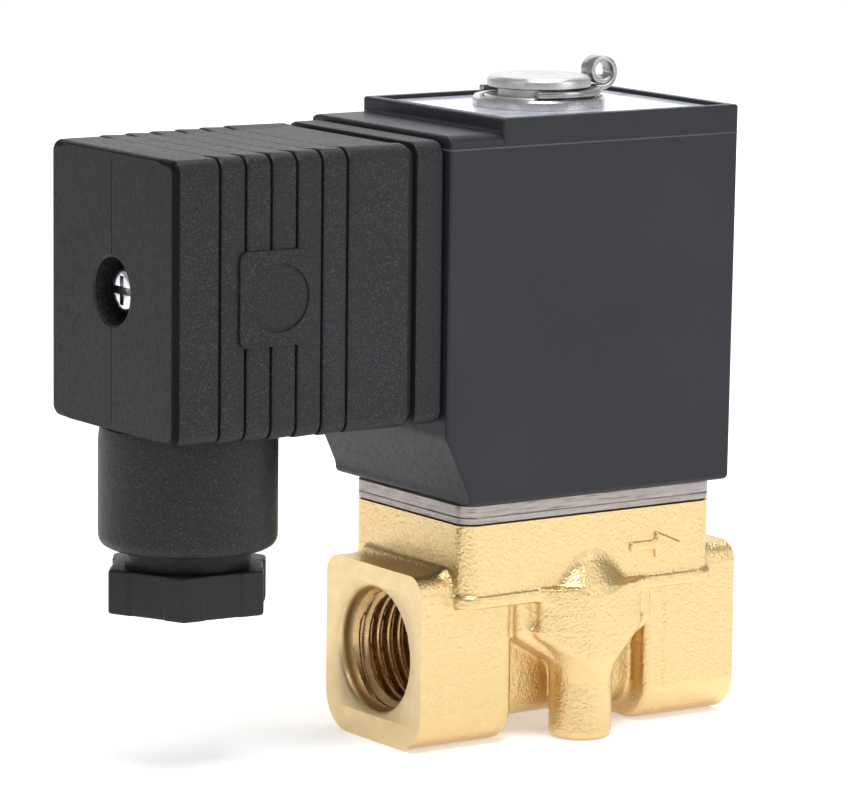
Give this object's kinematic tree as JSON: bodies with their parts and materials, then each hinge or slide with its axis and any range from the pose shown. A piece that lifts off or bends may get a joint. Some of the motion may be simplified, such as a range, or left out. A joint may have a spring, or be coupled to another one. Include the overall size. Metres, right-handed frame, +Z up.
{
  "type": "solenoid valve",
  "caption": "Brass direct-acting two-way solenoid valve with threaded ports, a moulded coil held by a spring clip, and a right-angle plug connector with a cable gland.",
  "frame": {"origin": "on the valve axis, in the plane of the two tapped mounting bosses that the valve stands on", "axes": "+Z up along the valve axis, +X along the flow from the inlet port to the outlet port, so the connector points to -X"},
  "size_m": [0.0731, 0.0262, 0.0714],
  "materials": {
    "brass_body": "shot-blasted forging with machined port faces",
    "body_seal_ring": "moulded",
    "armature_tube": "drawn stainless",
    "fixed_core": "turned",
    "shading_ring": "copper",
    "flange_plate": "plated, sheared edge",
    "flange_screws": "plated",
    "plunger": "ground",
    "plunger_seal": "moulded",
    "return_spring": "drawn wire",
    "coil_housing": "satin moulding",
    "nameplate": "glossy foil",
    "coil_bobbin": "moulded",
    "copper_winding": "enamelled copper wire",
    "winding_tape": "polyester tape",
    "yoke_frame": "pressed",
    "screw_insert": "turned",
    "terminal_base": "fine spark-eroded grain",
    "contact_blades": "tinned brass",
    "top_washer": "plated",
    "retaining_clip": "spring steel",
    "connector_housing": "fine spark-eroded grain",
    "connector_gasket": "flat seal",
    "terminal_block": "moulded",
    "contact_sockets": "pressed",
    "terminal_screws": "plated",
    "gland_grommet": "moulded",
    "gland_thrust_ring": "pressed",
    "fixing_screw": "zinc plated",
    "screw_washer": "moulded",
    "gland_slip_ring": "clear moulding",
    "gland_nut": "satin moulding"
  },
  "bodies": {
    "valve_body": {"brass_body": "brass_body", "body_seal_ring": "body_seal_ring", "armature_tube": "armature_tube", "fixed_core": "fixed_core", "shading_ring": "shading_ring", "flange_plate": "flange_plate", "flange_screws": "flange_screws"},
    "plunger": {"plunger": "plunger", "plunger_seal": "plunger_seal", "return_spring": "return_spring"},
    "clip": {"retaining_clip": "retaining_clip"},
    "coil": {"coil_housing": "coil_housing", "nameplate": "nameplate", "coil_bobbin": "coil_bobbin", "copper_winding": "copper_winding", "winding_tape": "winding_tape", "yoke_frame": "yoke_frame", "screw_insert": "screw_insert", "terminal_base": "terminal_base", "contact_blades": "contact_blades", "top_washer": "top_washer"},
    "connector": {"connector_housing": "connector_housing", "connector_gasket": "connector_gasket", "terminal_block": "terminal_block", "contact_sockets": "contact_sockets", "terminal_screws": "terminal_screws", "gland_grommet": "gland_grommet", "gland_thrust_ring": "gland_thrust_ring"},
    "screw_carrier": {"screw_washer": "screw_washer"},
    "fixing_screw": {"fixing_screw": "fixing_screw"},
    "gland_ring": {"gland_slip_ring": "gland_slip_ring"},
    "gland_nut": {"gland_nut": "gland_nut"}
  },
  "joints": [
    {"name": "plunger_lift", "type": "slide", "parent": "valve_body", "child": "plunger", "axis": [0, 0, 1], "range_m": [0, 0.0018], "stiffness_N_per_m": 300, "springref_m": -0.002, "deforming": ["return_spring"]},
    {"name": "coil_turn", "type": "hinge", "parent": "valve_body", "child": "coil", "pos_m": [0, 0, 0.045], "axis": [0, 0, 1], "continuous": true},
    {"name": "clip_pull", "type": "slide", "parent": "valve_body", "child": "clip", "axis": [0.9998, 0.0175, 0], "range_m": [0, 0.016]},
    {"name": "connector_unplug", "type": "slide", "parent": "coil", "child": "connector", "axis": [-1, 0, 0], "range_m": [0, 0.02]},
    {"name": "screw_travel", "type": "slide", "parent": "connector", "child": "screw_carrier", "axis": [-1, 0, 0], "range_m": [0, 0.004]},
    {"name": "screw_turn", "type": "hinge", "parent": "screw_carrier", "child": "fixing_screw", "pos_m": [-0.0484, 0, 0.0503], "axis": [-1, 0, 0], "range_deg": [0, 2880]},
    {"name": "gland_travel", "type": "slide", "parent": "connector", "child": "gland_ring", "axis": [0, 0, -1], "range_m": [0, 0.006]},
    {"name": "gland_turn", "type": "hinge", "parent": "gland_ring", "child": "gland_nut", "pos_m": [-0.04345, 0, 0.02], "axis": [0, 0, -1], "range_deg": [0, 1440]}
  ],
  "couplings": [
    {"joint": "screw_turn", "follows": "screw_travel", "rad_per_m": 12566},
    {"joint": "gland_turn", "follows": "gland_travel", "rad_per_m": 4188.8}
  ]
}
